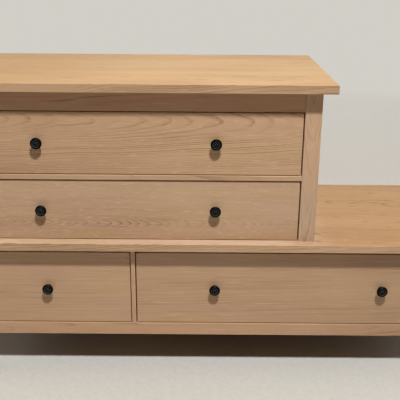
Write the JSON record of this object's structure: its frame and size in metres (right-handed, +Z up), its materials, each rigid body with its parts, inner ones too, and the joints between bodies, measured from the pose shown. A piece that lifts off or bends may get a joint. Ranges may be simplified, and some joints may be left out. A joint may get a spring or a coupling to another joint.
{
  "type": "stepped dresser",
  "caption": "Stepped light-wood dresser: a low wide base with drawers side by side and a narrower chest of full-width drawers on its left, with round black knobs.",
  "frame": {"origin": "on the floor below the middle of the bounding box", "axes": "+X to the right seen from the front, along the width; +Y to the back; +Z up"},
  "size_m": [1.526, 0.531, 0.8325],
  "materials": {
    "top_wood": "satin lacquer",
    "case_wood": "satin lacquer",
    "front_wood": "satin lacquer",
    "box_wood": "bare, sanded",
    "bottom_board": "bare plywood",
    "back_board": "bare plywood",
    "runner_wood": "waxed hardwood",
    "knob_black": "satin black",
    "screw_steel": "zinc plated"
  },
  "bodies": {
    "case": {"base_back_panel": "back_board", "base_front_left_leg": "case_wood", "base_front_right_leg": "case_wood", "base_left_panel": "case_wood", "base_rear_left_leg": "case_wood", "base_rear_right_leg": "case_wood", "base_right_panel": "case_wood", "base_top": "top_wood", "bottom_rail": "case_wood", "dowels": "runner_wood", "frieze_rail": "case_wood", "head_rail": "case_wood", "middle_rail": "case_wood", "narrow_drawer_runners": "runner_wood", "partition": "case_wood", "rear_rail": "case_wood", "second_drawer_runners": "runner_wood", "top_drawer_runners": "runner_wood", "upper_back_panel": "back_board", "upper_front_left_post": "case_wood", "upper_front_right_post": "case_wood", "upper_left_panel": "case_wood", "upper_rear_left_post": "case_wood", "upper_rear_right_post": "case_wood", "upper_right_panel": "case_wood", "upper_top": "top_wood", "wide_drawer_runners": "runner_wood"},
    "top_drawer": {"top_drawer_back": "box_wood", "top_drawer_bottom": "bottom_board", "top_drawer_front": "front_wood", "top_drawer_knob_screws": "screw_steel", "top_drawer_left_knob": "knob_black", "top_drawer_left_side": "box_wood", "top_drawer_right_knob": "knob_black", "top_drawer_right_side": "box_wood"},
    "second_drawer": {"second_drawer_back": "box_wood", "second_drawer_bottom": "bottom_board", "second_drawer_front": "front_wood", "second_drawer_knob_screws": "screw_steel", "second_drawer_left_knob": "knob_black", "second_drawer_left_side": "box_wood", "second_drawer_right_knob": "knob_black", "second_drawer_right_side": "box_wood"},
    "narrow_drawer": {"narrow_drawer_back": "box_wood", "narrow_drawer_bottom": "bottom_board", "narrow_drawer_front": "front_wood", "narrow_drawer_knob_screws": "screw_steel", "narrow_drawer_left_side": "box_wood", "narrow_drawer_middle_knob": "knob_black", "narrow_drawer_right_side": "box_wood"},
    "wide_drawer": {"wide_drawer_back": "box_wood", "wide_drawer_bottom": "bottom_board", "wide_drawer_front": "front_wood", "wide_drawer_knob_screws": "screw_steel", "wide_drawer_left_knob": "knob_black", "wide_drawer_left_side": "box_wood", "wide_drawer_right_knob": "knob_black", "wide_drawer_right_side": "box_wood"}
  },
  "joints": [
    {"name": "top_drawer_slide", "type": "slide", "parent": "case", "child": "top_drawer", "axis": [0, -1, 0], "range_m": [0, 0.36]},
    {"name": "second_drawer_slide", "type": "slide", "parent": "case", "child": "second_drawer", "axis": [0, -1, 0], "range_m": [0, 0.36]},
    {"name": "narrow_drawer_slide", "type": "slide", "parent": "case", "child": "narrow_drawer", "axis": [0, -1, 0], "range_m": [0, 0.36]},
    {"name": "wide_drawer_slide", "type": "slide", "parent": "case", "child": "wide_drawer", "axis": [0, -1, 0], "range_m": [0, 0.36]}
  ]
}
